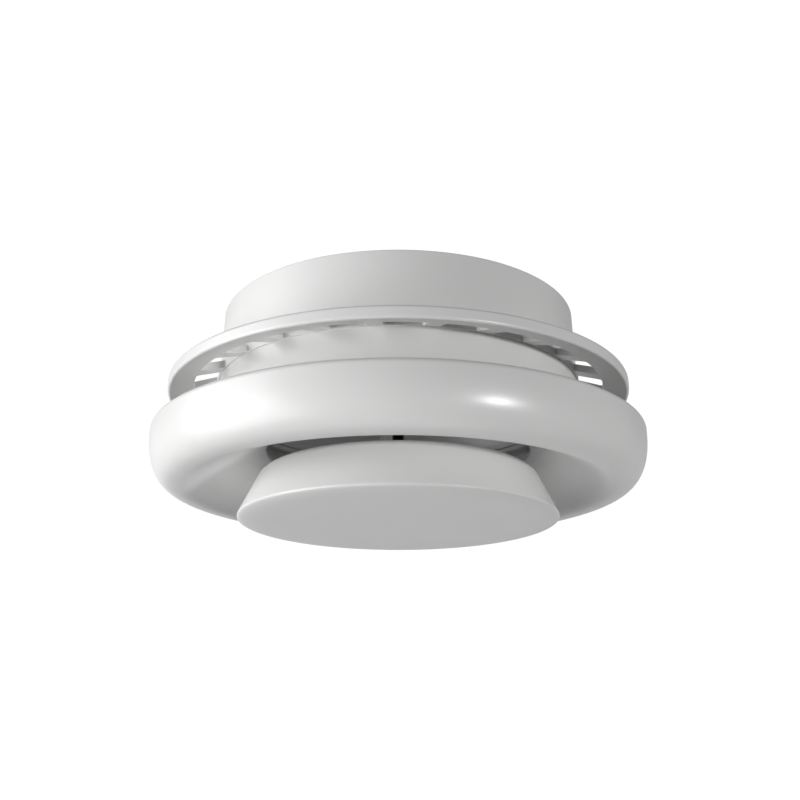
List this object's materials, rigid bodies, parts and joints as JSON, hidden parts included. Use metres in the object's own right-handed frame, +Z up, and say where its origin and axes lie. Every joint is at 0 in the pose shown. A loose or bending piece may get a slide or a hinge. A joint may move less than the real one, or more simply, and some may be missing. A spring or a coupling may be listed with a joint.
{
  "type": "ceiling air valve",
  "caption": "Round ceiling air valve: slotted mounting collar with a duct spigot, rounded face ring on a plug-in sleeve, and a central disc adjusted by a screw spindle.",
  "frame": {"origin": "on the valve's axis, in the plane where the collar's rim meets the ceiling", "axes": "+Z up along the axis into the duct, the room is below; one of the flange's slots lies over +X, its middle 1.6 degrees past it, and one arm of the bridge is 7 degrees past +Y"},
  "size_m": [0.198, 0.198, 0.085],
  "materials": {
    "white_plastic": "gloss moulded white",
    "black_screw": "black oxide",
    "brass": "machined",
    "zinc_steel": "zinc plated",
    "grey_foam": "closed-cell foam"
  },
  "bodies": {
    "collar": {"mounting_collar": "white_plastic"},
    "seal": {"neck_seal": "grey_foam"},
    "valve_body": {"face_ring": "white_plastic", "neck_sleeve": "white_plastic", "shoulder_gasket": "grey_foam", "bridge": "white_plastic", "bridge_screw_1": "zinc_steel", "bridge_screw_2": "zinc_steel", "bridge_screw_3": "zinc_steel", "thread_bush": "brass", "lock_washer": "zinc_steel"},
    "lock_nut": {"lock_nut": "zinc_steel"},
    "spindle": {"spindle": "black_screw", "end_stop_nut": "black_screw"},
    "disc": {"disc_cone": "white_plastic", "disc_face": "white_plastic", "disc_washer": "zinc_steel", "disc_nut": "zinc_steel"}
  },
  "joints": [
    {"name": "body_slide", "type": "slide", "parent": "collar", "child": "seal", "axis": [0, 0, 1], "range_m": [-0.012, 0]},
    {"name": "body_turn", "type": "hinge", "parent": "seal", "child": "valve_body", "pos_m": [0, 0, 0], "axis": [0, 0, 1], "continuous": true},
    {"name": "lock_nut_turn", "type": "hinge", "parent": "valve_body", "child": "lock_nut", "pos_m": [0, 0, 0], "axis": [0, 0, 1], "range_deg": [0, 360]},
    {"name": "disc_travel", "type": "slide", "parent": "valve_body", "child": "spindle", "axis": [0, 0, 1], "range_m": [-0.01201, 0.00881]},
    {"name": "disc_turn", "type": "hinge", "parent": "spindle", "child": "disc", "pos_m": [0, 0, 0], "axis": [0, 0, 1], "range_deg": [-5400, 3960]}
  ],
  "couplings": [
    {"joint": "disc_travel", "follows": "disc_turn", "m_per_rad": 0.00012732}
  ]
}
